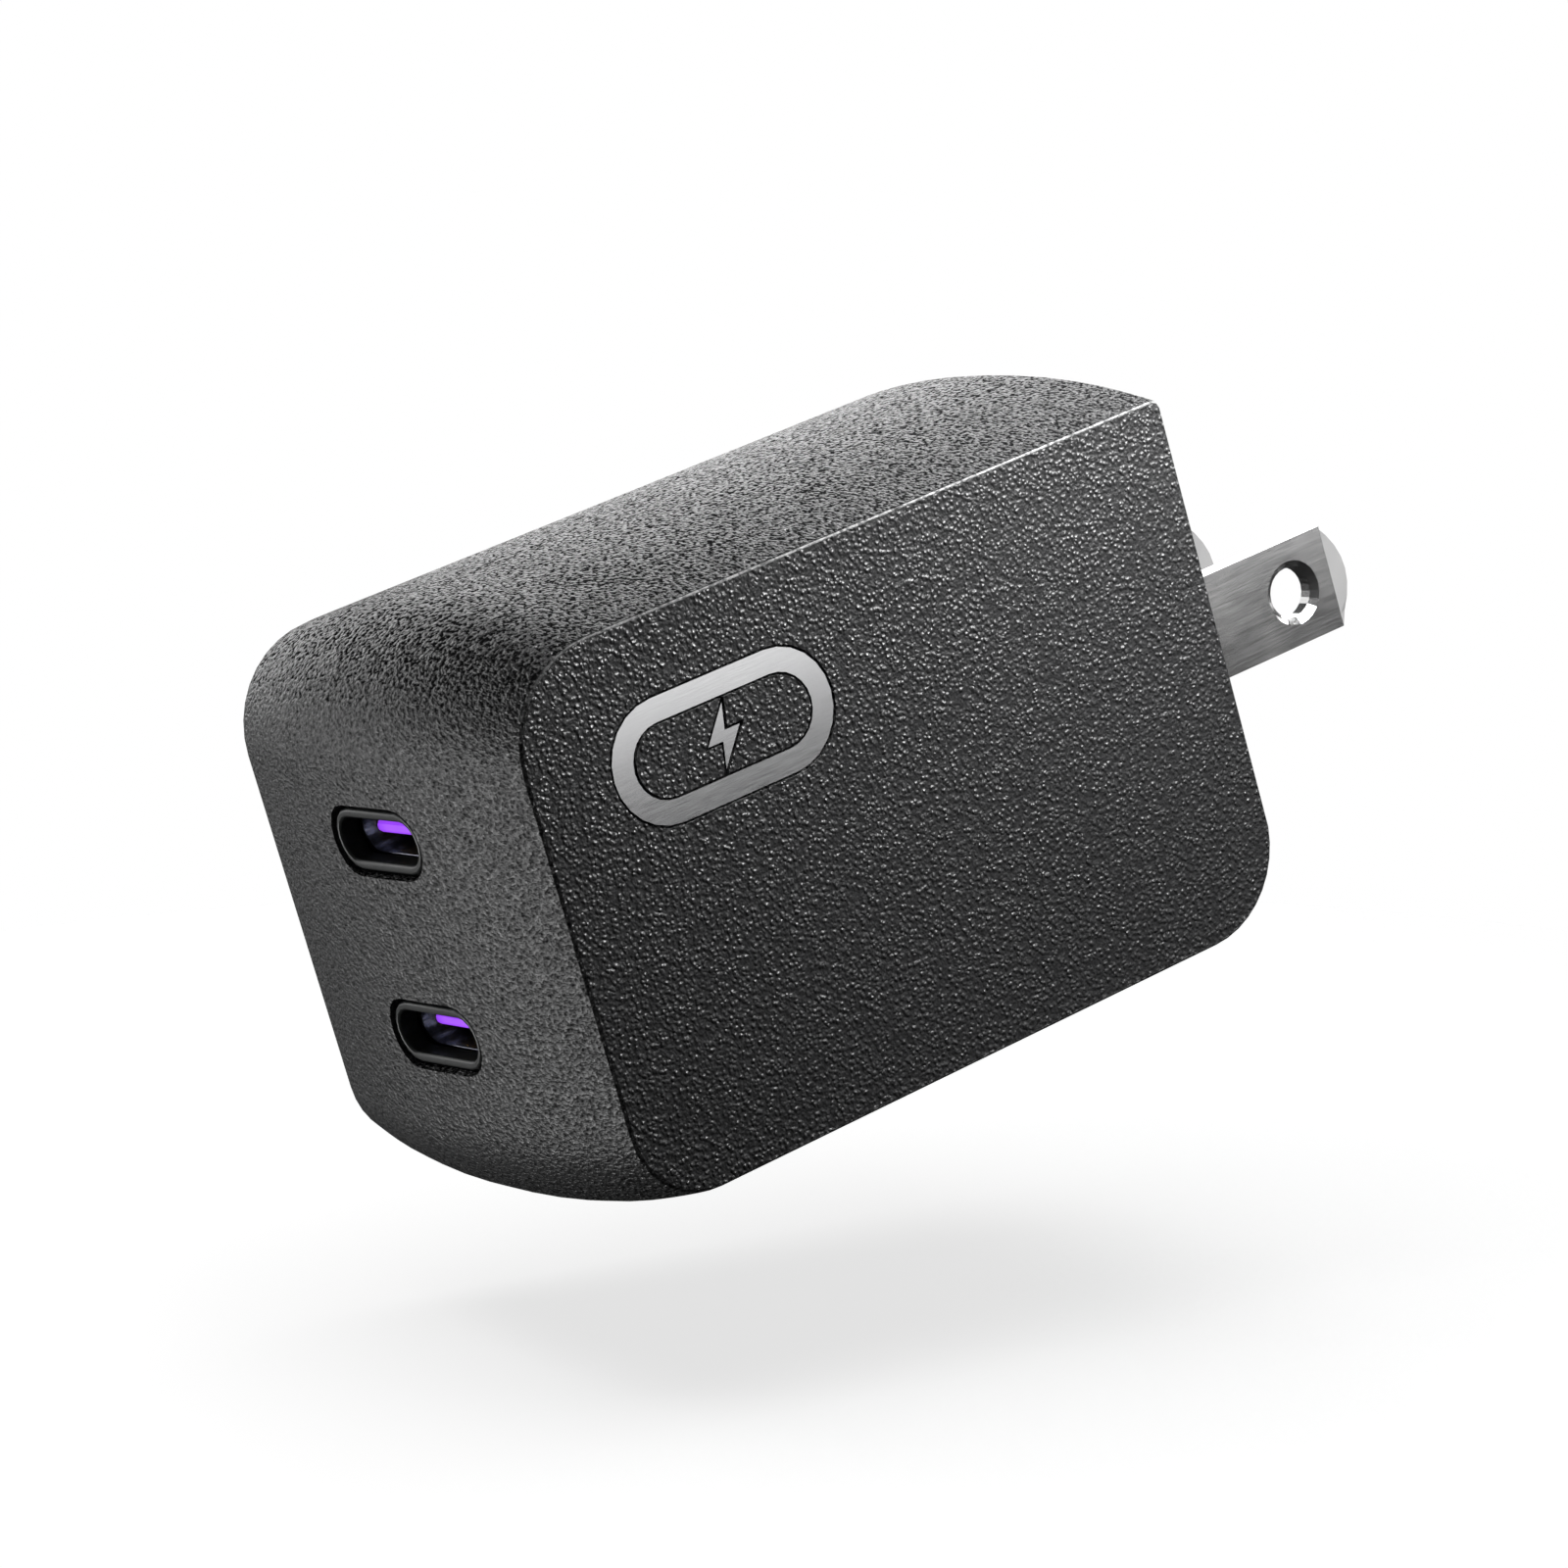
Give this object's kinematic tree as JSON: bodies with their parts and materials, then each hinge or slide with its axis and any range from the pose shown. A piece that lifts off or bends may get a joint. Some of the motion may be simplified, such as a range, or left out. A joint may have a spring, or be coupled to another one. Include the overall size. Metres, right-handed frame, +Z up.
{
  "type": "usb wall charger",
  "caption": "Compact wall charger: charcoal plastic housing with arched faces, oval USB-C ports, an inlaid badge and flat plug blades that fold into the back.",
  "frame": {"origin": "centre of the flat plug face, between the two blades", "axes": "+X out of the plug face towards the wall outlet, +Z up along the blades' width, +Y to the side away from the badge"},
  "size_m": [0.0642, 0.0308, 0.0344],
  "materials": {
    "charcoal_plastic": "fine moulded grain",
    "black_plastic": "moulded, fine grain",
    "holder_plastic": "plain moulded",
    "badge_metal": "satin polished",
    "bezel_plastic": "satin",
    "stainless": "polished",
    "violet_plastic": "plain moulded",
    "nickel_plate": "nickel plated",
    "spring_bronze": "rolled strip",
    "board_green": "glass-fibre board with solder mask",
    "ferrite": "ground ferrite",
    "bobbin_plastic": "plain moulded",
    "winding_tape": "polyester tape over wire",
    "copper_wire": "enamelled wire",
    "capacitor_sleeve": "sleeved can",
    "film_box": "moulded case",
    "disc_blue": "dipped",
    "fuse_sleeve": "heat-shrink sleeve",
    "chip_epoxy": "moulded epoxy",
    "polymer_can": "drawn can",
    "heat_plate": "mill finish",
    "sheet_film": "insulating film"
  },
  "bodies": {
    "housing": {"back_cover": "charcoal_plastic", "badge_inlay": "badge_metal", "bolt_inlay": "badge_metal", "bridge_rectifier": "chip_epoxy", "bulk_capacitor_1": "capacitor_sleeve", "bulk_capacitor_2": "capacitor_sleeve", "bulk_capacitor_3": "capacitor_sleeve", "case_shell": "charcoal_plastic", "choke_core": "ferrite", "choke_lower_winding": "copper_wire", "choke_upper_winding": "copper_wire", "detent_spring": "spring_bronze", "far_contact_spring": "spring_bronze", "far_heat_plate": "heat_plate", "fuse": "fuse_sleeve", "gan_switch": "chip_epoxy", "insulating_sheet": "sheet_film", "lower_core_half": "ferrite", "lower_output_inductor": "ferrite", "lower_port_bezel": "bezel_plastic", "lower_usb_shell": "stainless", "lower_usb_tongue": "violet_plastic", "main_board": "board_green", "near_contact_spring": "spring_bronze", "near_heat_plate": "heat_plate", "optocoupler": "chip_epoxy", "output_capacitor_1": "polymer_can", "output_capacitor_2": "polymer_can", "plug_holder": "holder_plastic", "port_board": "board_green", "power_controller": "chip_epoxy", "rectifier_switch": "chip_epoxy", "transformer_bobbin": "bobbin_plastic", "transformer_winding": "winding_tape", "upper_core_half": "ferrite", "upper_output_inductor": "ferrite", "upper_port_bezel": "bezel_plastic", "upper_usb_shell": "stainless", "upper_usb_tongue": "violet_plastic", "x_capacitor": "film_box", "y_capacitor": "disc_blue"},
    "folding_plug": {"near_blade": "nickel_plate", "far_blade": "nickel_plate", "near_blade_hub": "black_plastic", "far_blade_hub": "black_plastic", "pivot_shaft": "stainless"}
  },
  "joints": [
    {"name": "blade_fold", "type": "hinge", "parent": "housing", "child": "folding_plug", "pos_m": [-0.002, 0, 0.0021], "axis": [0, 1, 0], "range_deg": [0, 90]}
  ]
}
